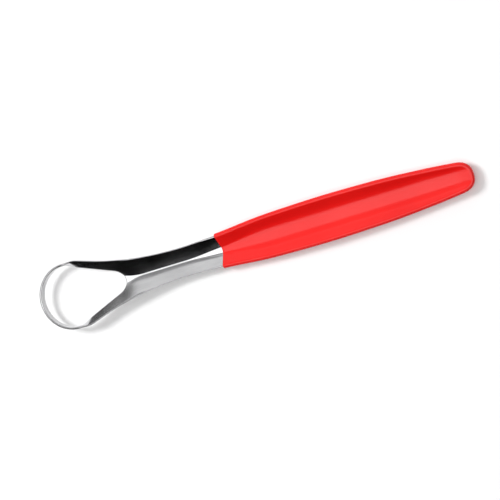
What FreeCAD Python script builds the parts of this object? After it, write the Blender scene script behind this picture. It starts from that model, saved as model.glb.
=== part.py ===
import FreeCAD, Part
import math
import os
import Sketcher

# Tongue scraper: one pressed steel sheet with a loop head, a trough-shaped neck and a tang,
# and a dipped plastic grip over the tang. The tool lies on the keel of its grip with the trough
# open upwards. X runs from the loop to the tip of the grip, and Z is up.

# Driving dimensions, in millimetres and degrees. Spans follow one another along the tool,
# from the centre of the loop to the end of the tang. A keel is the height of the sheet's
# underside in the middle of the trough, and a floor is half the width of its flat bottom.
# Towards the tip the floor is what a flank run leaves: the level width of the straight flank.
# An inset is measured inwards: from the loop's radius to the arm's rim, or from there to its floor.
DRIVING_SIZES = {
    # sheet and coating
    "sheet_thickness": 0.9,
    "coat_thickness": 0.55,
    "flank_angle": 36.0,
    "half_overlap": 3.2,
    # loop: a strip on edge round the front of the head
    "loop_radius": 11.8,
    "loop_lean": 86.0,
    "loop_strip_width": 2.2,
    "loop_rim_height": 5.25,
    # arms: the strip lies down from the loop towards the neck
    "arm_start_span": 5.4,
    "arm_start_inset": 0.3,
    "arm_start_angle": 42.0,
    "arm_start_keel": 2.6,
    "arm_start_fold_radius": 1.2,
    "arm_start_floor_inset": 3.47,
    "arm_root_span": 10.9,
    "arm_root_half_width": 8.33,
    "arm_root_keel": 1.2,
    "arm_root_floor": 2.7,
    # neck: a narrow trough
    "shoulder_span": 10.3,
    "shoulder_half_width": 6.25,
    "shoulder_keel": 1.05,
    "waist_span": 17.1,
    "waist_half_width": 5.1,
    "waist_keel": 0.7,
    "neck_valley_radius": 1.4,
    "neck_floor": 0.3,
    # tang: the wider trough inside the grip, which rises towards its end
    "border_span": 13.1,
    "border_half_width": 5.6,
    "palm_span": 19.4,
    "palm_half_width": 7.0,
    "swell_span": 19.0,
    "swell_half_width": 7.32,
    "back_span": 19.0,
    "back_half_width": 6.93,
    "heel_span": 17.8,
    "heel_half_width": 5.81,
    "heel_rise": 0.4,
    "heel_flank_run": 0.7215,
    "tang_valley_radius": 5.4,
    "tang_floor": 1.2,
    "tip_span": 9.9,
    "tip_half_width": 4.82,
    "tip_rise": 1.0,
    "tip_valley_radius": 4.4,
    "tip_flank_run": 0.3192,
    "tang_end_span": 5.2,
    "tang_end_half_width": 4.1,
    "tang_end_rise": 1.9,
    "tang_end_angle": 22.0,
    "tang_end_flank_run": 0.6332,
    "end_flat_half_width": 0.5,
    # eye: the punched opening of the head
    "eye_clearance": 0.3,
    "eye_crotch_from_root": 4.1,
    "eye_crotch_radius": 4.5,
    "eye_corner_setback": 1.56,
    # grip
    "grip_tip_cover": 1.1,
    "grip_border_sag": 0.6,
}

# Directions and turns about the vertical, in degrees.
TO_FRONT = 180.0
ACROSS = 90.0
HALF_TURN = 180.0

doc = FreeCAD.newDocument("tongue_scraper")
sheet = doc.addObject("Spreadsheet::Sheet", "Sizes")
for row, (alias, number) in enumerate(DRIVING_SIZES.items(), start=1):
    sheet.set(f"A{row}", alias)
    sheet.set(f"B{row}", str(number))
    sheet.setAlias(f"B{row}", alias)
doc.recompute()


class Size:
    """A length or an angle: its formula over the sheet's cells, and its present value."""

    def __init__(self, formula, value):
        self.formula = formula
        self.value = value

    def __add__(self, other):
        return Size(f"({self.formula} + {other.formula})", self.value + other.value)

    def __sub__(self, other):
        return Size(f"({self.formula} - {other.formula})", self.value - other.value)

    def times(self, factor):
        return Size(f"({self.formula} * {factor})", self.value * factor)

    def times_sine(self, angle):
        sine = math.sin(math.radians(angle.value))
        return Size(f"({self.formula} * sin({angle.formula} * 1 deg))", self.value * sine)


def size(alias):
    return Size(f"Sizes.{alias}", float(sheet.get(alias)))


NOTHING = Size("0", 0.0)
sheet_thickness = size("sheet_thickness")
half_sheet = sheet_thickness.times(0.5)
coat = size("coat_thickness")
loop_radius = size("loop_radius")


class Station:
    """The trough's half section at one place along the tool."""

    def __init__(self, name, along, half_width, angle, keel, fold_radius, floor):
        self.name = name
        self.along = along
        self.half_width = half_width
        self.angle = angle
        self.keel = keel
        self.fold_radius = fold_radius
        self.floor = floor
        self.inner_end = NOTHING - size("half_overlap")


def tapered_station(name, along, angle, fold_radius):
    """A station towards the tip, which rises and whose floor is left over by flank and fold."""
    half_width = size(f"{name}_half_width")
    fold_run = (fold_radius + half_sheet).times_sine(angle)
    floor = half_width - half_sheet - size(f"{name}_flank_run") - fold_run
    keel = coat + size(f"{name}_rise")
    return Station(name, along, half_width, angle, keel, fold_radius, floor)


def origin_plane(body, role):
    return next(feature for feature in body.Origin.OriginFeatures if feature.Role == role)


def new_sketch(body, name, role):
    sketch = body.newObject("Sketcher::SketchObject", name)
    sketch.AttachmentSupport = [(origin_plane(body, role), "")]
    sketch.MapMode = "FlatFace"
    return sketch


def section_sketch(body, name, along, yaw):
    """An upright sketch at a distance along the tool, turned about the vertical by yaw."""
    sketch = new_sketch(body, name, "XZ_Plane")
    turn = FreeCAD.Rotation(FreeCAD.Vector(0, 1, 0), yaw)
    sketch.AttachmentOffset = FreeCAD.Placement(FreeCAD.Vector(along.value, 0, 0), turn)
    sketch.setExpression("AttachmentOffset.Base.x", along.formula)
    return sketch


def line(start, end):
    return Part.LineSegment(FreeCAD.Vector(*start, 0), FreeCAD.Vector(*end, 0))


def arc(centre, radius, start_degrees, end_degrees):
    circle = Part.Circle(FreeCAD.Vector(*centre, 0), FreeCAD.Vector(0, 0, 1), radius)
    return Part.ArcOfCircle(circle, math.radians(start_degrees), math.radians(end_degrees))


def dimension(sketch, name, kind, target, amount):
    """A named dimension of a sketch that follows the sheet."""
    is_angle = kind == "Angle"
    start_value = math.radians(amount.value) if is_angle else amount.value
    index = sketch.addConstraint(Sketcher.Constraint(kind, *target, start_value))
    sketch.renameConstraint(index, name)
    formula = f"{amount.formula} * 1 deg" if is_angle else amount.formula
    sketch.setExpression(f"Constraints.{name}", formula)


def relate(sketch, kind, *pairs):
    for pair in pairs:
        sketch.addConstraint(Sketcher.Constraint(kind, *pair))


def trough_section(body, station, skin):
    """Floor, fold, flank and rounded rim of one half of the sheet, thickened by a skin."""
    sketch = section_sketch(body, f"{body.Name}_{station.name}", station.along, ACROSS)
    inner = station.fold_radius - skin
    outer = station.fold_radius + sheet_thickness + skin
    rim = half_sheet + skin
    reach = station.half_width - half_sheet
    fold_height = station.keel + sheet_thickness + station.fold_radius

    angle = math.radians(station.angle.value)
    middle = station.fold_radius.value + half_sheet.value
    fold = (station.floor.value, fold_height.value)
    flank_run = reach.value - fold[0] - middle * math.sin(angle)
    rim_height = fold[1] - middle * math.cos(angle) + flank_run * math.tan(angle)

    def on_fold(radius):
        return (fold[0] + radius * math.sin(angle), fold[1] - radius * math.cos(angle))

    def beside_rim(offset):
        return (reach.value - offset * math.sin(angle), rim_height + offset * math.cos(angle))

    def floor_points(radius):
        return (station.inner_end.value, fold[1] - radius), (fold[0], fold[1] - radius)

    inner_start, inner_stop = floor_points(inner.value)
    outer_start, outer_stop = floor_points(outer.value)
    degrees = station.angle.value
    sketch.addGeometry([
        line(inner_start, inner_stop),
        arc(fold, inner.value, -90, degrees - 90),
        line(on_fold(inner.value), beside_rim(rim.value)),
        arc((reach.value, rim_height), rim.value, degrees - 90, degrees + 90),
        line(beside_rim(-rim.value), on_fold(outer.value)),
        arc(fold, outer.value, -90, degrees - 90),
        line(outer_stop, outer_start),
        line(outer_start, inner_start),
    ])
    relate(sketch, "Tangent", (0, 2, 1, 1), (1, 2, 2, 1), (2, 2, 3, 2), (3, 1, 4, 1),
           (4, 2, 5, 2), (5, 1, 6, 1))
    relate(sketch, "Coincident", (6, 2, 7, 1), (7, 2, 0, 1), (1, 3, 5, 3))
    relate(sketch, "Horizontal", (0,), (6,))
    relate(sketch, "Vertical", (7,))
    dimension(sketch, "floor", "DistanceX", (-1, 1, 1, 3), station.floor)
    dimension(sketch, "fold_height", "DistanceY", (-1, 1, 1, 3), fold_height)
    dimension(sketch, "inner_radius", "Radius", (1,), inner)
    dimension(sketch, "outer_radius", "Radius", (5,), outer)
    dimension(sketch, "rim_radius", "Radius", (3,), rim)
    dimension(sketch, "reach", "DistanceX", (-1, 1, 3, 3), reach)
    dimension(sketch, "flank", "Angle", (2,), station.angle)
    dimension(sketch, "inner_end", "DistanceX", (-1, 1, 7, 1), station.inner_end)
    return sketch


def loop_section(body, name, direction):
    """The strip of the loop on edge, in one direction from the loop's centre.

    Each face is drawn in three equal lengths, so that it has as many edges as the trough has.
    """
    sketch = section_sketch(body, name, loop_radius, direction)
    reach = loop_radius - half_sheet
    rim_height = size("loop_rim_height")
    lean = size("loop_lean")
    third = size("loop_strip_width").times(1 / 3)
    slope = math.radians(lean.value)

    def on_strip(thirds_down, offset):
        down = thirds_down * third.value
        return (reach.value - down * math.cos(slope) - offset * math.sin(slope),
                rim_height.value - down * math.sin(slope) + offset * math.cos(slope))

    half = half_sheet.value
    sketch.addGeometry(
        [line(on_strip(step, half), on_strip(step - 1, half)) for step in (3, 2, 1)]
        + [arc((reach.value, rim_height.value), half, lean.value - 90, lean.value + 90)]
        + [line(on_strip(step, -half), on_strip(step + 1, -half)) for step in (0, 1, 2)]
        + [line(on_strip(3, -half), on_strip(3, half))])
    relate(sketch, "Tangent", (2, 2, 3, 2), (3, 1, 4, 1))
    relate(sketch, "Coincident", (0, 2, 1, 1), (1, 2, 2, 1), (4, 2, 5, 1), (5, 2, 6, 1),
           (6, 2, 7, 1), (7, 2, 0, 1))
    relate(sketch, "Parallel", (0, 1), (1, 2), (2, 4), (4, 5), (5, 6))
    relate(sketch, "Equal", (0, 1), (1, 2), (4, 5), (5, 6))
    relate(sketch, "Perpendicular", (7, 0))
    dimension(sketch, "reach", "DistanceX", (-1, 1, 3, 3), reach)
    dimension(sketch, "rim_height", "DistanceY", (-1, 1, 3, 3), rim_height)
    dimension(sketch, "rim_radius", "Radius", (3,), half_sheet)
    dimension(sketch, "lean", "Angle", (2,), lean)
    dimension(sketch, "third", "Distance", (2,), third)
    return sketch


def cut_through(body, sketch, name):
    """A pocket right through the body, up and down from the sketch."""
    doc.recompute()
    volume_before = body.Shape.Volume
    pocket = body.newObject("PartDesign::Pocket", name)
    pocket.Profile = sketch
    pocket.SideType = "Symmetric"
    pocket.Type = "ThroughAll"
    doc.recompute()
    if body.Shape.Volume >= volume_before:
        raise RuntimeError(f"{name} cuts nothing")
    return pocket


def bend_loop(body, strip):
    """The round front of the loop: its strip turned half round the loop's upright axis."""
    loop = body.newObject("PartDesign::Revolution", "loop")
    loop.Profile = strip
    loop.ReferenceAxis = (strip, ["V_Axis"])
    loop.Midplane = True
    loop.Angle = HALF_TURN


def loft_half(body, name, sections):
    loft = body.newObject("PartDesign::AdditiveLoft", name)
    loft.Profile = sections[0]
    loft.Sections = sections[1:]


def mirror_half(body, end):
    """Trim a body that ends at the given place to one side, and mirror it to the other."""
    beyond = end + loop_radius
    margin = loop_radius.times(2)
    trim = new_sketch(body, f"{body.Name}_other_side", "XY_Plane")
    corners = [(-margin.value, 0), (beyond.value, 0), (beyond.value, -margin.value),
               (-margin.value, -margin.value)]
    trim.addGeometry([line(corners[i], corners[(i + 1) % 4]) for i in range(4)])
    relate(trim, "Coincident", *((i, 2, (i + 1) % 4, 1) for i in range(4)))
    relate(trim, "Horizontal", (0,), (2,))
    relate(trim, "Vertical", (1,), (3,))
    relate(trim, "PointOnObject", (0, 1, -1))
    dimension(trim, "beyond", "DistanceX", (-1, 1, 0, 2), beyond)
    dimension(trim, "before", "DistanceX", (0, 1, -1, 1), margin)
    dimension(trim, "aside", "DistanceY", (1, 2, 1, 1), margin)
    cut_through(body, trim, f"{body.Name}_middle_cut")
    mirrored = body.newObject("PartDesign::Mirrored", f"{body.Name}_both_halves")
    mirrored.TransformMode = "Whole shape"
    mirrored.MirrorPlane = (origin_plane(body, "XZ_Plane"), [""])
    body.Tip = mirrored
    doc.recompute()


def round_end_corners(body, end, half_width):
    """Round the end of a tongue of the given half width, seen from above, up to a short flat."""
    sketch = new_sketch(body, f"{body.Name}_end_corners", "XY_Plane")
    centre_aside = size("end_flat_half_width")
    radius = half_width - centre_aside
    centre_along = end - radius
    past_end = end + radius
    past_side = half_width + radius
    for first, side in ((0, 1), (5, -1)):
        centre = (centre_along.value, side * centre_aside.value)
        on_end = (end.value, centre[1])
        on_side = (centre[0], side * half_width.value)
        outside = (centre[0], side * past_side.value)
        far = (past_end.value, outside[1])
        beside_end = (past_end.value, centre[1])
        start, stop = (0, 90) if side > 0 else (-90, 0)
        sketch.addGeometry([arc(centre, radius.value, start, stop), line(on_side, outside),
                            line(outside, far), line(far, beside_end), line(beside_end, on_end)])
        at_end, at_side = (1, 2) if side > 0 else (2, 1)
        relate(sketch, "Coincident", (first, at_side, first + 1, 1), (first + 1, 2, first + 2, 1),
               (first + 2, 2, first + 3, 1), (first + 3, 2, first + 4, 1),
               (first + 4, 2, first, at_end))
        relate(sketch, "Vertical", (first + 1,), (first + 3,), (first, at_side, first, 3))
        relate(sketch, "Horizontal", (first + 2,), (first + 4,), (first, at_end, first, 3))
        label = "left" if side > 0 else "right"
        dimension(sketch, f"{label}_radius", "Radius", (first,), radius)
        dimension(sketch, f"{label}_along", "DistanceX", (-1, 1, first, 3), centre_along)
        dimension(sketch, f"{label}_past_end", "DistanceX", (-1, 1, first + 2, 2), past_end)
        towards_side = (-1, 1, first, 3) if side > 0 else (first, 3, -1, 1)
        dimension(sketch, f"{label}_aside", "DistanceY", towards_side, centre_aside)
        outwards = (-1, 1, first + 1, 2) if side > 0 else (first + 1, 2, -1, 1)
        dimension(sketch, f"{label}_past_side", "DistanceY", outwards, past_side)
    cut_through(body, sketch, f"{body.Name}_rounded_end")


def punch_eye(body, crotch_along):
    """The teardrop opening: a round front, two straight sides and a round crotch."""
    sketch = new_sketch(body, "eye_outline", "XY_Plane")
    front_radius = loop_radius - sheet_thickness - size("eye_clearance")
    crotch_radius = size("eye_crotch_radius")
    crotch_centre = crotch_along - crotch_radius
    setback = size("eye_corner_setback")
    corner_along = loop_radius + setback

    # a side runs straight from its corner on the round front to where it touches the round crotch
    corner = (corner_along.value, math.sqrt(front_radius.value ** 2 - setback.value ** 2))
    run = crotch_centre.value - corner[0]
    lead = math.asin(crotch_radius.value / math.hypot(run, corner[1]))
    slope = math.atan2(corner[1], run) - lead
    touch = (crotch_centre.value + crotch_radius.value * math.sin(slope),
             crotch_radius.value * math.cos(slope))
    corner_degrees = math.degrees(math.atan2(corner[1], setback.value))
    touch_degrees = 90 - math.degrees(slope)

    sketch.addGeometry([
        arc((loop_radius.value, 0), front_radius.value, corner_degrees, 360 - corner_degrees),
        line((corner[0], -corner[1]), (touch[0], -touch[1])),
        arc((crotch_centre.value, 0), crotch_radius.value, -touch_degrees, touch_degrees),
        line(touch, corner),
    ])
    relate(sketch, "Coincident", (0, 2, 1, 1), (3, 2, 0, 1))
    relate(sketch, "Tangent", (1, 2, 2, 1), (2, 2, 3, 1))
    relate(sketch, "PointOnObject", (0, 3, -1), (2, 3, -1))
    dimension(sketch, "front_centre", "DistanceX", (-1, 1, 0, 3), loop_radius)
    dimension(sketch, "front_radius", "Radius", (0,), front_radius)
    dimension(sketch, "crotch_centre", "DistanceX", (-1, 1, 2, 3), crotch_centre)
    dimension(sketch, "crotch_radius", "Radius", (2,), crotch_radius)
    dimension(sketch, "left_corner", "DistanceX", (-1, 1, 0, 1), corner_along)
    dimension(sketch, "right_corner", "DistanceX", (-1, 1, 0, 2), corner_along)
    cut_through(body, sketch, "eye")


def sag_border(body, border_along, half_width):
    """The edge of the dipped coat runs back towards the middle of the trough."""
    sketch = new_sketch(body, "border_outline", "XY_Plane")
    sag = size("grip_border_sag")
    apex = border_along + sag
    base = border_along - sag
    aside = half_width.times(2)
    corners = [(apex.value, 0), (base.value, aside.value), (base.value, -aside.value)]
    sketch.addGeometry([line(corners[i], corners[(i + 1) % 3]) for i in range(3)])
    relate(sketch, "Coincident", *((i, 2, (i + 1) % 3, 1) for i in range(3)))
    relate(sketch, "PointOnObject", (0, 1, -1))
    relate(sketch, "Vertical", (1,))
    dimension(sketch, "apex", "DistanceX", (-1, 1, 0, 1), apex)
    dimension(sketch, "base", "DistanceX", (-1, 1, 1, 1), base)
    dimension(sketch, "left", "DistanceY", (-1, 1, 1, 1), aside)
    dimension(sketch, "right", "DistanceY", (1, 2, -1, 1), aside)
    cut_through(body, sketch, "border")


# Stations along the tool, each a span after the one before. A half section runs past the
# middle plane by an overlap, and the two halves are cut to meet there.
arm_start_along = loop_radius + size("arm_start_span")
arm_root_along = arm_start_along + size("arm_root_span")
shoulder_along = arm_root_along + size("shoulder_span")
waist_along = shoulder_along + size("waist_span")
border_along = waist_along + size("border_span")
palm_along = border_along + size("palm_span")
swell_along = palm_along + size("swell_span")
back_along = swell_along + size("back_span")
heel_along = back_along + size("heel_span")
tip_along = heel_along + size("tip_span")
tang_end_along = tip_along + size("tang_end_span")
grip_end_along = tang_end_along + size("grip_tip_cover")

flank_angle = size("flank_angle")
neck_valley_radius = size("neck_valley_radius")
tip_valley_radius = size("tip_valley_radius")
neck_floor = size("neck_floor")
tang_floor = size("tang_floor")
arm_start_half_width = loop_radius - size("arm_start_inset")
arm_start = Station("arm_start", arm_start_along, arm_start_half_width, size("arm_start_angle"),
                    size("arm_start_keel"), size("arm_start_fold_radius"),
                    arm_start_half_width - size("arm_start_floor_inset"))
arm_start.inner_end = arm_start.floor - arm_start.fold_radius
arm_root = Station("arm_root", arm_root_along, size("arm_root_half_width"), flank_angle,
                   size("arm_root_keel"), neck_valley_radius, size("arm_root_floor"))
neck = [Station(name, along, size(f"{name}_half_width"), flank_angle, keel,
                neck_valley_radius, floor)
        for name, along, keel, floor in (
            ("shoulder", shoulder_along, size("shoulder_keel"), neck_floor),
            ("waist", waist_along, size("waist_keel"), neck_floor),
            ("border", border_along, coat, tang_floor))]
tang_valley_radius = size("tang_valley_radius")
tang = [Station(name, along, size(f"{name}_half_width"), flank_angle, coat,
                tang_valley_radius, tang_floor)
        for name, along in (("palm", palm_along), ("swell", swell_along), ("back", back_along))]
heel, tip, tang_end = [
    tapered_station(name, along, angle, fold_radius) for name, along, angle, fold_radius in (
        ("heel", heel_along, flank_angle, tang_valley_radius),
        ("tip", tip_along, flank_angle, tip_valley_radius),
        ("tang_end", tang_end_along, size("tang_end_angle"), tip_valley_radius))]
tang += [heel, tip, tang_end]

blade = doc.addObject("PartDesign::Body", "blade")
blade.Label = "scraper_blade"
bend_loop(blade, loop_section(blade, "loop_front", TO_FRONT))
head_run = [loop_section(blade, "loop_end", ACROSS)]
head_run += [trough_section(blade, station, NOTHING) for station in [arm_start, arm_root] + neck]
loft_half(blade, "head_and_neck", head_run)
tang_run = [head_run[-1]]
tang_run += [trough_section(blade, station, NOTHING) for station in tang]
loft_half(blade, "tang", tang_run)
mirror_half(blade, tang_end_along)
round_end_corners(blade, tang_end_along, size("tip_half_width"))
punch_eye(blade, arm_root_along + size("eye_crotch_from_root"))

tang_end.along = grip_end_along
dip = doc.addObject("PartDesign::Body", "dip")
dip_run = [trough_section(dip, station, coat) for station in neck[-1:] + tang]
loft_half(dip, "dip_half", dip_run)
mirror_half(dip, grip_end_along)
round_end_corners(dip, grip_end_along, size("tip_half_width") + coat)
sag_border(dip, border_along, size("border_half_width") + coat)

# The origin is under the middle of the tool, on the surface that the grip's keel rests on.
to_middle = NOTHING - grip_end_along.times(0.5)
for body in (blade, dip):
    body.setExpression("Placement.Base.x", to_middle.formula)
doc.recompute()

grip = doc.addObject("Part::Cut", "grip")
grip.Label = "handle_grip"
grip.Base = dip
grip.Tool = blade
doc.recompute()

for item in doc.Objects:
    if "Invalid" in item.State or "Error" in item.State:
        raise RuntimeError(f"{item.Label} failed: {item.State}")
os.makedirs("parts", exist_ok=True)
for item in (blade, grip):
    if item.Shape.isNull() or not item.Shape.isValid():
        raise RuntimeError(f"{item.Label} has no valid shape")
    box = item.Shape.BoundBox
    print(item.Label, len(item.Shape.Solids), "solid", f"{item.Shape.Volume:.1f} mm3",
          f"X {box.XMin:.2f} {box.XMax:.2f} Y {box.YMin:.2f} {box.YMax:.2f}",
          f"Z {box.ZMin:.2f} {box.ZMax:.2f}")
    item.Shape.exportStep(f"parts/{item.Label}.step")
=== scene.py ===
import math

import bmesh
import bpy
import numpy as np
from mathutils import Matrix, Vector


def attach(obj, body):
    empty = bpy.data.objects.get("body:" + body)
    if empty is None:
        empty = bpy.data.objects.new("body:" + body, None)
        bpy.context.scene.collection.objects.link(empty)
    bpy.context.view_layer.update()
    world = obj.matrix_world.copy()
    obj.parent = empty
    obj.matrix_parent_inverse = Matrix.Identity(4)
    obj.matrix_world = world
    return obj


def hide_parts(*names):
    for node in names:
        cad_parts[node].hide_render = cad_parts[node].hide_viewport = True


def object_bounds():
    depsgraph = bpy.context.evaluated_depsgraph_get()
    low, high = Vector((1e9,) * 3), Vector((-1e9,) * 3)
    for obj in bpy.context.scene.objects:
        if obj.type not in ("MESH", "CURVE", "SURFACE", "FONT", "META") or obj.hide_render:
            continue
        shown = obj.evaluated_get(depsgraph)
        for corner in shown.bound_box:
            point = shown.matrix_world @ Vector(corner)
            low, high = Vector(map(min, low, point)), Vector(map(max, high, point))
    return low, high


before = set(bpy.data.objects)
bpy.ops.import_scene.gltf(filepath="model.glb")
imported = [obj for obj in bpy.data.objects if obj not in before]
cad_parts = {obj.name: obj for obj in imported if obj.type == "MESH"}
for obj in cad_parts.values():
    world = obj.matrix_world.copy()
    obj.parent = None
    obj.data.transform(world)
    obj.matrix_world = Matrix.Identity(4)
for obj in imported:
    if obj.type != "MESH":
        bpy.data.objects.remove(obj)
cad_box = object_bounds()

# Sizes of the tool, in millimetres and degrees. Distances run from the front of the loop
# along the tool, and the frame's X = 0 is halfway.
MM = 0.001
TOOL_LENGTH = 160.0
SHEET = 0.9
HALF_SHEET = SHEET / 2
COAT = 0.55
ARM_START = 17.2
BORDER = 68.6
TANG_END = 158.9

# The loop: a strip on edge, bent round the front of the head.
LOOP_RADIUS = 11.8
LOOP_LEAN = 86.0
LOOP_STRIP = 2.2
LOOP_RIM_HEIGHT = 5.25

# The trough at its stations: distance, half width, keel height, and the section's flank angle,
# valley radius and floor. A floor is half the width of the flat bottom.
NECK_SECTION = (34.5, 0.5, 0.12)
GRIP_SECTION = (36.0, 5.4, 1.2)
TROUGH_STATIONS = np.array([
    (ARM_START, 11.5, 2.25, 37.0, 1.2, 7.6),
    (28.1, 8.33, 1.1, 35.5, 1.2, 2.7),
    (38.4, 6.25, 0.85, *NECK_SECTION),
    (55.5, 5.1, 0.6, *NECK_SECTION),
    (BORDER, 5.6, COAT, 36.0, 1.4, 0.7),
    (88.0, 7.0, COAT, *GRIP_SECTION),
    (107.0, 7.32, COAT, *GRIP_SECTION),
    (126.0, 6.93, COAT, *GRIP_SECTION),
    (143.8, 5.81, 0.95, *GRIP_SECTION),
    (153.7, 4.82, 1.55, 36.0, 4.4, 1.2),
    (159.5, 4.1, 2.45, 22.0, 4.4, 1.2),
])
STATION_EASE = 3.0

# The rims of the arms run level with the rim of the loop. The steel thins towards its rim from
# below, over the last share of its width, up to where the rim passes into the grip.
RIM_CEILING = 5.24
RIM_EASE = 0.04
RIM_RADIUS = 0.2
RIM_THICKENS = (62.0, 67.5)
THINNING_START = 0.7

# The eye: its straight sides touch a round crotch.
EYE_CROTCH = 32.2
EYE_CROTCH_RADIUS = 4.5
EYE_SIDE_ANGLE = 21.5
EDGE_ROUNDING = 0.16

# The grip: its edge sags towards the middle of the trough and is rolled to the steel.
BORDER_SAG = 0.6
SAG_FADE = 20.0
LIP_LENGTH = 0.5
TANG_CLEARANCE = 0.02
TIP_ROUNDING = 4.7
TIP_SQUARENESS = 2.7
TIP_FAN = 0.3

# How finely the meshes are divided: points across a half section, over its rim and over a cut
# edge, and rows along the tool.
ACROSS = 40
CAP_STEPS = 8
EDGE_STEPS = 6
LOOP_ROWS = 46
TWIST_ROWS = 20
EYE_SIDE_ROWS = 34
CROTCH_ROWS = 22
SHANK_ROWS = 250
SHANK_TIP_ROWS = 14
SLEEVE_ROWS = 90
SLEEVE_TIP_ROWS = 12
LIP_ROWS = 8
SKIN_ROWS = 170
SKIN_TIP_ROWS = 26
WELD = 0.002

# Finishes: a darker and a lighter tone, and the limits of the roughness.
STEEL_TONES = ((0.62, 0.62, 0.63), (0.71, 0.71, 0.72))
STEEL_ROUGHNESS = (0.12, 0.2)
RED_TONES = ((0.83, 0.009, 0.008), (0.90, 0.013, 0.011))
RED_ROUGHNESS = (0.23, 0.27)
WHITE = (1.0, 1.0, 1.0, 1.0)

# The floor, in metres: its colour, and how much of its white it gives off by itself.
FLOOR_HALF_SIDE = 3.0
FLOOR_GAP = 0.00002
FLOOR_WHITE = 0.9
FLOOR_GLOW = 0.1


# Shape of the trough

def hermite(start, end, start_slope, end_slope, t):
    """A smooth step from start to end with the given slopes."""
    return ((2 * t**3 - 3 * t**2 + 1) * start + (3 * t**2 - 2 * t**3) * end
            + (t**3 - 2 * t**2 + t) * start_slope + (t**3 - t**2) * end_slope)


def monotone_curve(distances, values):
    """A curve through the stations without overshoot, straight beyond the first and last."""
    span = np.diff(distances)
    slope = np.diff(values) / span
    tangent = np.zeros(len(values))
    tangent[0] = slope[0]
    tangent[-1] = slope[-1]
    for i in range(1, len(values) - 1):
        if slope[i - 1] * slope[i] > 0:
            before = 2 * span[i] + span[i - 1]
            after = span[i] + 2 * span[i - 1]
            tangent[i] = (before + after) / (before / slope[i - 1] + after / slope[i])

    def at(distance):
        i = np.clip(np.searchsorted(distances, distance) - 1, 0, len(span) - 1)
        t = (distance - distances[i]) / span[i]
        inside = hermite(values[i], values[i + 1], tangent[i] * span[i], tangent[i + 1] * span[i], t)
        low = values[0] + tangent[0] * (distance - distances[0])
        high = values[-1] + tangent[-1] * (distance - distances[-1])
        return np.where(t < 0, low, np.where(t > 1, high, inside))

    return at


def soft_profile(column):
    """One size of the trough along the tool, eased over a few millimetres at each station."""
    step, beyond = 0.1, 8.0
    distances = TROUGH_STATIONS[:, 0]
    fine = np.arange(distances[0] - beyond, distances[-1] + beyond, step)
    plain = monotone_curve(distances, TROUGH_STATIONS[:, column])(fine)
    kernel = np.hanning(2 * int(STATION_EASE / step) + 1)
    eased = np.convolve(plain, kernel / kernel.sum(), mode="same")
    return lambda distance: np.interp(distance, fine, eased)


half_width_at, keel_at, angle_at, fold_radius_at, floor_at = (soft_profile(c) for c in range(1, 6))


def rim_radius_at(distance):
    """Rounding of the rim: small along the arms and the neck, the sheet's own in the grip."""
    return np.interp(distance, RIM_THICKENS, (RIM_RADIUS, HALF_SHEET))


def reach_at(distance):
    """Where the middle of the sheet ends at the side, so that its rounded rim is the outline."""
    radius = rim_radius_at(distance)
    inwards = (HALF_SHEET - radius) * np.sin(np.radians(angle_at(distance)))
    return half_width_at(distance) - radius + inwards


def trough_height(distance, aside):
    """Height of the middle of the sheet: floor, fold and straight flank, level at its highest."""
    angle = np.radians(angle_at(distance))
    radius = fold_radius_at(distance) + HALF_SHEET
    bottom = keel_at(distance) + HALF_SHEET
    past_floor = np.maximum(np.abs(aside) - floor_at(distance), 0.0)
    fold_end = radius * np.sin(angle)
    in_fold = np.minimum(past_floor, fold_end)
    fold = radius - np.sqrt(np.maximum(radius**2 - in_fold**2, 0.0))
    height = bottom + fold + (past_floor - in_fold) * np.tan(angle)
    return height - RIM_EASE * np.logaddexp(0.0, (height - RIM_CEILING) / RIM_EASE)


def unit(vectors):
    return vectors / np.linalg.norm(vectors, axis=-1, keepdims=True)


def trough_normal(distance, aside):
    """Unit normal of the sheet's middle, on the open side of the trough."""
    nudge = 0.02
    along = trough_height(distance + nudge, aside) - trough_height(distance - nudge, aside)
    across = trough_height(distance, aside + nudge) - trough_height(distance, aside - nudge)
    return unit(np.stack([-along, -across, np.full_like(along, 2 * nudge)], axis=-1))


def trough_row(inner, rim):
    """Points and normals of the sheet's middle on a straight line, seen from above."""
    closer_inside = 1.25
    share = np.linspace(0.0, 1.0, ACROSS) ** closer_inside
    distance = inner[0] + (rim[0] - inner[0]) * share
    aside = inner[1] + (rim[1] - inner[1]) * share
    points = np.stack([distance, aside, trough_height(distance, aside)], axis=-1)
    return points, trough_normal(distance, aside)


# Rows of the sheet, from the loop to the tip

def loop_rows():
    """Rows up the strip of the loop, from its front to its side."""
    lean = math.radians(LOOP_LEAN)
    down = np.linspace(LOOP_STRIP - EDGE_ROUNDING, 0.0, ACROSS)
    radius = LOOP_RADIUS - HALF_SHEET - down * math.cos(lean)
    height = LOOP_RIM_HEIGHT - down * math.sin(lean)
    rows = []
    for turn in np.radians(np.linspace(0.0, 90.0, LOOP_ROWS)):
        outward = np.array([-math.cos(turn), math.sin(turn), 0.0])
        points = np.array([LOOP_RADIUS, 0.0, 0.0]) + radius[:, None] * outward
        points[:, 2] = height
        normal = -math.sin(lean) * outward + np.array([0.0, 0.0, math.cos(lean)])
        rows.append((points, np.tile(normal, (ACROSS, 1))))
    return rows


def smooth_step(share):
    return share**2 * (3 - 2 * share)


def rim_lead(distance):
    """How far a row's rim end lies ahead of its inner end, so that rows fan out at the crotch."""
    most, rise, fall = 4.5, 9.0, 22.0
    before = np.clip((distance - EYE_CROTCH + rise) / rise, 0.0, 1.0)
    after = np.clip((EYE_CROTCH + fall - distance) / fall, 0.0, 1.0)
    return most * smooth_step(before) * smooth_step(after)


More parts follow.
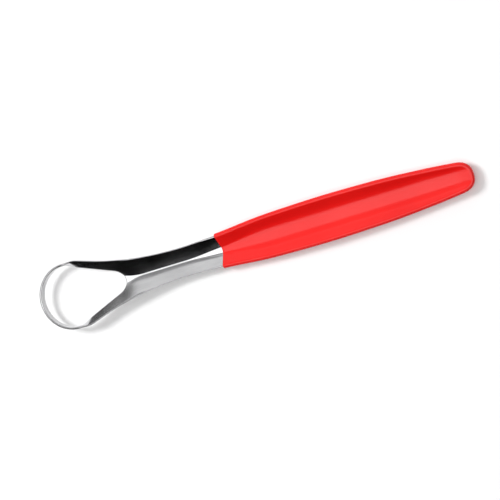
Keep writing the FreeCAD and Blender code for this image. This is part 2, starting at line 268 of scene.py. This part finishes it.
def eye_edge():
    """The edge of the eye on one side: the straight side and a quarter of the round crotch."""
    slope = math.radians(EYE_SIDE_ANGLE)
    centre = EYE_CROTCH - EYE_CROTCH_RADIUS
    touch = (centre + EYE_CROTCH_RADIUS * math.sin(slope), EYE_CROTCH_RADIUS * math.cos(slope))
    rounding = EYE_CROTCH_RADIUS + EDGE_ROUNDING
    edge = []
    for distance in np.linspace(ARM_START, touch[0], EYE_SIDE_ROWS)[:-1]:
        aside = touch[1] + (touch[0] - distance) * math.tan(slope) + EDGE_ROUNDING / math.cos(slope)
        edge.append((distance, aside))
    for turn in np.linspace(slope, math.pi / 2, CROTCH_ROWS):
        edge.append((centre + rounding * math.sin(turn), rounding * math.cos(turn)))
    return edge


def eye_rows():
    """Rows from the edge of the eye to the rim."""
    rows = []
    for inner in eye_edge():
        ahead = inner[0] + rim_lead(inner[0])
        rows.append(trough_row(inner, (ahead, reach_at(ahead))))
    return rows


def twist_rows(loop_end, eye_start, eye_next):
    """Rows that turn the strip from upright at the loop to lying at the arm."""
    span = ARM_START - LOOP_RADIUS
    start, end = loop_end[0], eye_start[0]
    straight_on = np.array([span, 0.0, 0.0])
    leaving = (eye_next[0] - end) / (eye_next[0][0, 0] - end[0, 0]) * span
    steps = np.linspace(0.0, 1.0, TWIST_ROWS)
    grid = np.array([hermite(start, end, straight_on, leaving, t) for t in steps])
    along = np.gradient(grid, axis=0)
    across = np.gradient(grid, axis=1)
    normals = unit(np.cross(along, across))
    return [(grid[i], normals[i]) for i in range(1, len(steps) - 1)]


def shank_rows(start, end, count, sag=0.0):
    """Rows from the middle plane to the rim, square to the tool apart from the sag of a border."""
    rows = []
    for distance in np.linspace(start, end, count):
        faded = np.clip(1.0 - (distance - start) / SAG_FADE, 0.0, 1.0)
        spine = distance + sag * faded**2
        lead = rim_lead(distance) if sag == 0.0 else 0.0
        rows.append(trough_row((spine, 0.0), (distance + lead, reach_at(distance + lead))))
    return rows


def tip_rows(start, end, count):
    """Rows that fan round the tip: the last one lies in the middle plane."""
    spine_end = end - TIP_FAN * (end - start)
    rows = []
    for turn in np.linspace(0.0, math.pi / 2, count)[1:]:
        share = math.sin(turn) ** (2 / TIP_SQUARENESS)
        width = max(math.cos(turn), 0.0) ** (2 / TIP_SQUARENESS)
        distance = start + (end - start) * share
        spine = start + (spine_end - start) * math.sin(turn) ** 2
        rows.append(trough_row((spine, 0.0), (distance, reach_at(distance) * width)))
    rows[-1][0][:, 1] = 0.0
    rows[-1][1][:, 1] = 0.0
    return rows


def lip_rows():
    """Rows of the rolled lip at the grip's border, and how high each one is in the roll."""
    rows = []
    rises = []
    for turn in np.radians(np.linspace(0.0, 90.0, LIP_ROWS))[1:-1]:
        distance = BORDER + LIP_LENGTH * (1 - math.cos(turn))
        spine = distance + BORDER_SAG
        rows.append(trough_row((spine, 0.0), (distance, reach_at(distance))))
        rises.append(math.sin(turn))
    return rows, rises


# Solids from rows

def edge_directions(points, neighbours, normals):
    """In-sheet directions square to an edge, pointing away from the neighbouring points."""
    along = np.gradient(points, axis=0)
    away = unit(np.cross(along, normals))
    side = np.sign(np.sum(away * (points - neighbours), axis=-1, keepdims=True))
    return away * side


def rounded_end(point, normal, away, offset, depth, squareness, steps):
    """Points over the end of a sheet, from its open side to its back."""
    turns = np.linspace(0.0, math.pi, steps + 2)[1:-1]
    power = 2 / squareness
    up = np.sign(np.cos(turns)) * np.abs(np.cos(turns)) ** power * offset
    out = np.sin(turns) ** power * depth
    return point + up[:, None] * normal + out[:, None] * away


def wrap_rows(rows, offsets, rim_radii):
    """Wrap each row: its open side, its rounded rim and its back, which thins towards the rim."""
    round_cap = 2.0
    share = np.linspace(0.0, 1.0, ACROSS)
    thinning = np.clip((share - THINNING_START) / (1 - THINNING_START), 0.0, 1.0) ** 2
    points = np.array([row[0] for row in rows])
    normals = np.array([row[1] for row in rows])
    rim_out = edge_directions(points[:, -1], points[:, -2], normals[:, -1])
    rings = []
    for row, normal, away, offset, radius in zip(points, normals, rim_out, offsets, rim_radii):
        raised = offset - radius
        rim = row[-1] + raised * normal[-1]
        cap = rounded_end(rim, normal[-1], away, radius, radius, round_cap, CAP_STEPS)
        back = row + (2 * raised * thinning - offset)[:, None] * normal
        rings.append(np.vstack([row + offset * normal, cap, back[::-1]]))
    return rings


def inner_edges(rows):
    """The rounded cut edge of each row, from its back to its open side."""
    square_cut = 4.0
    points = np.array([row[0] for row in rows])
    normals = np.array([row[1] for row in rows])
    away = edge_directions(points[:, 0], points[:, 1], normals[:, 0])
    edges = []
    for point, normal, out in zip(points[:, 0], normals[:, 0], away):
        edges.append(rounded_end(point, -normal, out, HALF_SHEET, EDGE_ROUNDING, square_cut, EDGE_STEPS))
    edges[-1][:, 1] = 0.0
    return edges


def in_frame(point, side):
    """A point of one half, or of its mirror image, in the frame's metres."""
    return ((point[0] - TOOL_LENGTH / 2) * MM, side * point[1] * MM, point[2] * MM)


def mirrored_mesh(name, rings, closed_rings):
    """A mesh of one half, row by row, and its mirror image, joined on the middle plane."""
    mesh = bmesh.new()
    for side in (1.0, -1.0):
        grid = [[mesh.verts.new(in_frame(point, side)) for point in ring] for ring in rings]
        for i in range(len(grid) - 1):
            near, far = grid[i], grid[i + 1]
            count = min(len(near), len(far))
            last = count if i < closed_rings - 1 else count - 1
            for k in range(last):
                corners = [near[k], near[(k + 1) % count], far[(k + 1) % count], far[k]]
                mesh.faces.new(corners if side > 0 else corners[::-1])
    bmesh.ops.remove_doubles(mesh, verts=mesh.verts, dist=WELD * MM)
    bmesh.ops.recalc_face_normals(mesh, faces=mesh.faces)
    for face in mesh.faces:
        face.smooth = True
    data = bpy.data.meshes.new(name)
    mesh.to_mesh(data)
    mesh.free()
    piece = bpy.data.objects.new(name, data)
    bpy.context.scene.collection.objects.link(piece)
    return piece


def steel_sheet():
    """The whole stamping: loop, arms, neck and the tang inside the grip."""
    loop = loop_rows()
    eye = eye_rows()
    twist = twist_rows(loop[-1], eye[0], eye[1])
    head = loop + twist + eye
    tip_start = TANG_END - TIP_ROUNDING
    shank = shank_rows(EYE_CROTCH + EDGE_ROUNDING, tip_start, SHANK_ROWS)[1:]
    rows = head + shank + tip_rows(tip_start, TANG_END - HALF_SHEET, SHANK_TIP_ROWS)
    rim_radii = [HALF_SHEET] * len(loop)
    rim_radii += list(np.linspace(HALF_SHEET, RIM_RADIUS, len(twist) + 2)[1:-1])
    rim_radii += [rim_radius_at(points[-1, 0]) for points, normals in rows[len(rim_radii):]]
    rings = wrap_rows(rows, [HALF_SHEET] * len(rows), rim_radii)
    for i, edge in enumerate(inner_edges(head)):
        rings[i] = np.vstack([rings[i], edge])
    return mirrored_mesh("steel_sheet", rings, closed_rings=len(head))


def dipped_grip():
    """The red skin: an inner sleeve on the tang, a rolled lip and the outer skin."""
    inner_offset = HALF_SHEET + TANG_CLEARANCE
    outer_offset = HALF_SHEET + COAT
    tang_tip = TANG_END - TIP_ROUNDING
    grip_tip = TOOL_LENGTH - TIP_ROUNDING - COAT
    inside = shank_rows(BORDER, tang_tip, SLEEVE_ROWS, BORDER_SAG)
    inside += tip_rows(tang_tip, TANG_END - HALF_SHEET, SLEEVE_TIP_ROWS)
    lip, rises = lip_rows()
    lip_offsets = [inner_offset + (outer_offset - inner_offset) * rise for rise in rises]
    outside = shank_rows(BORDER + LIP_LENGTH, grip_tip, SKIN_ROWS, BORDER_SAG)
    outside += tip_rows(grip_tip, TOOL_LENGTH - outer_offset, SKIN_TIP_ROWS)
    rows = inside[::-1] + lip + outside
    offsets = [inner_offset] * len(inside) + lip_offsets + [outer_offset] * len(outside)
    return mirrored_mesh("dipped_grip", wrap_rows(rows, offsets, offsets), closed_rings=0)


# Finishes

def new_material(name):
    material = bpy.data.materials.new(name)
    material.use_nodes = True
    tree = material.node_tree
    return material, tree, tree.nodes["Principled BSDF"]


def set_socket(tree, socket, value):
    """Give an input a value, or link another node's output to it."""
    if isinstance(value, bpy.types.NodeSocket):
        tree.links.new(value, socket)
    else:
        socket.default_value = value


def add_node(tree, kind, **inputs):
    """A node with the given input values; a socket given for an input is linked to it."""
    node = tree.nodes.new(kind)
    for name, value in inputs.items():
        set_socket(tree, node.inputs[name.replace("_", " ")], value)
    return node


def math_node(tree, operation, first, second):
    node = tree.nodes.new("ShaderNodeMath")
    node.operation = operation
    for socket, value in zip(node.inputs, (first, second)):
        set_socket(tree, socket, value)
    return node.outputs["Value"]


def two_tones(tree, factor, dark, light):
    """A colour between two tones, by a noise value."""
    ramp = add_node(tree, "ShaderNodeValToRGB", Fac=factor)
    first, last = ramp.color_ramp.elements
    first.position = 0.3
    first.color = (*dark, 1.0)
    last.position = 0.7
    last.color = (*light, 1.0)
    return ramp.outputs["Color"]


def handling_marks_group():
    """Soft smudges from handling: a value between two limits in clouds of the given size."""
    group = bpy.data.node_groups.new("handling_marks", "ShaderNodeTree")
    for label in ("Scale", "Low", "High"):
        group.interface.new_socket(label, in_out="INPUT", socket_type="NodeSocketFloat")
    group.interface.new_socket("Value", in_out="OUTPUT", socket_type="NodeSocketFloat")
    given = group.nodes.new("NodeGroupInput")
    result = group.nodes.new("NodeGroupOutput")
    place = group.nodes.new("ShaderNodeTexCoord")
    cloud = add_node(group, "ShaderNodeTexNoise", Vector=place.outputs["Object"],
                     Scale=given.outputs["Scale"], Detail=1.5, Roughness=0.4)
    spread = add_node(group, "ShaderNodeMapRange", Value=cloud.outputs["Fac"], From_Min=0.32,
                      From_Max=0.68, To_Min=given.outputs["Low"], To_Max=given.outputs["High"])
    spread.interpolation_type = "SMOOTHSTEP"
    group.links.new(spread.outputs["Result"], result.inputs["Value"])
    return group


def marks(tree, group, scale, low, high):
    """The value of handling marks in a material, in clouds of the given scale."""
    node = tree.nodes.new("ShaderNodeGroup")
    node.node_tree = group
    node.inputs["Scale"].default_value = scale
    node.inputs["Low"].default_value = low
    node.inputs["High"].default_value = high
    return node.outputs["Value"]


def polished_steel(marks_group):
    """Bright steel with faint polishing lines along the tool."""
    material, tree, surface = new_material("polished_steel")
    surface.inputs["Metallic"].default_value = 1.0
    place = tree.nodes.new("ShaderNodeTexCoord")
    lengthwise = add_node(tree, "ShaderNodeMapping", Vector=place.outputs["Object"],
                          Scale=(60.0, 5000.0, 5000.0))
    lines = add_node(tree, "ShaderNodeTexNoise", Vector=lengthwise.outputs["Vector"],
                     Scale=1.0, Detail=3.0)
    tone = two_tones(tree, lines.outputs["Fac"], *STEEL_TONES)
    tree.links.new(tone, surface.inputs["Base Color"])
    tree.links.new(marks(tree, marks_group, 90.0, *STEEL_ROUGHNESS), surface.inputs["Roughness"])
    relief = add_node(tree, "ShaderNodeBump", Strength=0.02, Distance=0.00002,
                      Height=lines.outputs["Fac"])
    tree.links.new(relief.outputs["Normal"], surface.inputs["Normal"])
    return material


def dipped_vinyl(marks_group):
    """Glossy red plastic with the faint waviness of a dipped skin."""
    material, tree, surface = new_material("dipped_vinyl")
    place = tree.nodes.new("ShaderNodeTexCoord")
    cloud = add_node(tree, "ShaderNodeTexNoise", Vector=place.outputs["Object"],
                     Scale=45.0, Detail=3.0)
    tone = two_tones(tree, cloud.outputs["Fac"], *RED_TONES)
    tree.links.new(tone, surface.inputs["Base Color"])
    tree.links.new(marks(tree, marks_group, 70.0, *RED_ROUGHNESS), surface.inputs["Roughness"])
    peel = add_node(tree, "ShaderNodeTexNoise", Vector=place.outputs["Object"],
                    Scale=160.0, Detail=1.0)
    relief = add_node(tree, "ShaderNodeBump", Strength=0.03, Distance=0.0002,
                      Height=peel.outputs["Fac"])
    tree.links.new(relief.outputs["Normal"], surface.inputs["Normal"])
    return material


def pale_floor():
    """A white floor that keeps the tool's shadow, white to the camera and in reflections."""
    material, tree, surface = new_material("pale_floor")
    surface.inputs["Base Color"].default_value = (FLOOR_WHITE, FLOOR_WHITE, FLOOR_WHITE, 1.0)
    surface.inputs["Roughness"].default_value = 0.9
    surface.inputs["Specular IOR Level"].default_value = 0.0
    path = tree.nodes.new("ShaderNodeLightPath")
    seen = math_node(tree, "MAXIMUM", path.outputs["Is Camera Ray"], path.outputs["Is Glossy Ray"])
    shown = math_node(tree, "MAXIMUM", seen, path.outputs["Is Transmission Ray"])
    glow = math_node(tree, "MULTIPLY", shown, FLOOR_GLOW)
    surface.inputs["Emission Color"].default_value = WHITE
    tree.links.new(glow, surface.inputs["Emission Strength"])
    return material


# The set

def lay_floor():
    """A square floor just under the tool."""
    half = FLOOR_HALF_SIDE
    below = cad_box[0][2] - FLOOR_GAP
    data = bpy.data.meshes.new("floor")
    corners = [(-half, -half, below), (half, -half, below), (half, half, below), (-half, half, below)]
    data.from_pydata(corners, [], [(0, 1, 2, 3)])
    floor = bpy.data.objects.new("floor", data)
    bpy.context.scene.collection.objects.link(floor)
    data.materials.append(pale_floor())


def softbox(name, place, aim, width, height, brightness):
    """A rectangular lamp of even brightness, where 1 is that of a white sheet in full light."""
    lamp = bpy.data.lights.new(name, "AREA")
    lamp.shape = "RECTANGLE"
    lamp.size = width
    lamp.size_y = height
    lamp.energy = brightness * math.pi * width * height
    box = bpy.data.objects.new(name, lamp)
    box.location = place
    box.rotation_euler = (Vector(aim) - Vector(place)).to_track_quat("-Z", "Y").to_euler()
    bpy.context.scene.collection.objects.link(box)
    return box


def light_room():
    """A room that is pale behind the tool, dark in front of it and dim near the floor."""
    world = bpy.data.worlds.new("room")
    bpy.context.scene.world = world
    world.use_nodes = True
    tree = world.node_tree
    place = tree.nodes.new("ShaderNodeTexCoord")
    split = add_node(tree, "ShaderNodeSeparateXYZ", Vector=place.outputs["Generated"])
    behind = add_node(tree, "ShaderNodeMapRange", Value=split.outputs["Y"], From_Min=-0.15,
                      From_Max=0.35, To_Min=0.005, To_Max=0.42)
    above = add_node(tree, "ShaderNodeMapRange", Value=split.outputs["Z"], From_Min=0.17,
                     From_Max=0.3, To_Min=0.15, To_Max=1.0)
    level = math_node(tree, "MULTIPLY", behind.outputs["Result"], above.outputs["Result"])
    background = tree.nodes["Background"]
    background.inputs["Color"].default_value = WHITE
    tree.links.new(level, background.inputs["Strength"])


def place_lamps():
    """A key lamp behind the loop, a long ceiling box over the grip and a low wall behind the tool."""
    key = softbox("key", place=(-0.50, 0.33, 0.67), aim=(0.0, 0.0, 0.0),
                  width=0.28, height=0.28, brightness=23.0)
    key.visible_glossy = False
    softbox("ceiling", place=(0.15, -0.125, 0.6), aim=(0.15, -0.125, 0.0),
            width=0.9, height=0.45, brightness=1.7)
    softbox("back_wall", place=(-0.2, 0.8, 0.36), aim=(-0.2, 0.0, 0.05),
            width=1.3, height=0.26, brightness=0.47)


def place_camera():
    """Above the tool, tilted towards its grip, with the grip rising to the right of the picture."""
    tilt = math.radians(18.0)
    roll = math.radians(16.85)
    away = 0.6
    pixels_per_metre = 2948.0
    picture_width = 500
    tool_middle = Vector((0.0, 0.0, 0.003))
    below_middle = 0.0028
    back = Vector((math.sin(tilt), 0.0, math.cos(tilt)))
    along = Vector((math.cos(tilt), 0.0, -math.sin(tilt)))
    across = Vector((0.0, 1.0, 0.0))
    right = math.cos(roll) * along - math.sin(roll) * across
    up = math.sin(roll) * along + math.cos(roll) * across
    aim = tool_middle - below_middle * up
    data = bpy.data.cameras.new("camera")
    data.sensor_width = 36.0
    data.lens = data.sensor_width * pixels_per_metre * away / picture_width
    camera = bpy.data.objects.new("camera", data)
    turn = Matrix((right, up, back)).transposed().to_4x4()
    camera.matrix_world = Matrix.Translation(aim + away * back) @ turn
    bpy.context.scene.collection.objects.link(camera)
    bpy.context.scene.camera = camera


marks_group = handling_marks_group()
blade = steel_sheet()
blade.data.materials.append(polished_steel(marks_group))
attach(blade, "root")
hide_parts("scraper_blade")

grip = dipped_grip()
grip.data.materials.append(dipped_vinyl(marks_group))
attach(grip, "root")
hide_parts("handle_grip")

lay_floor()
light_room()
place_lamps()
place_camera()
bpy.context.scene.view_settings.view_transform = "Standard"
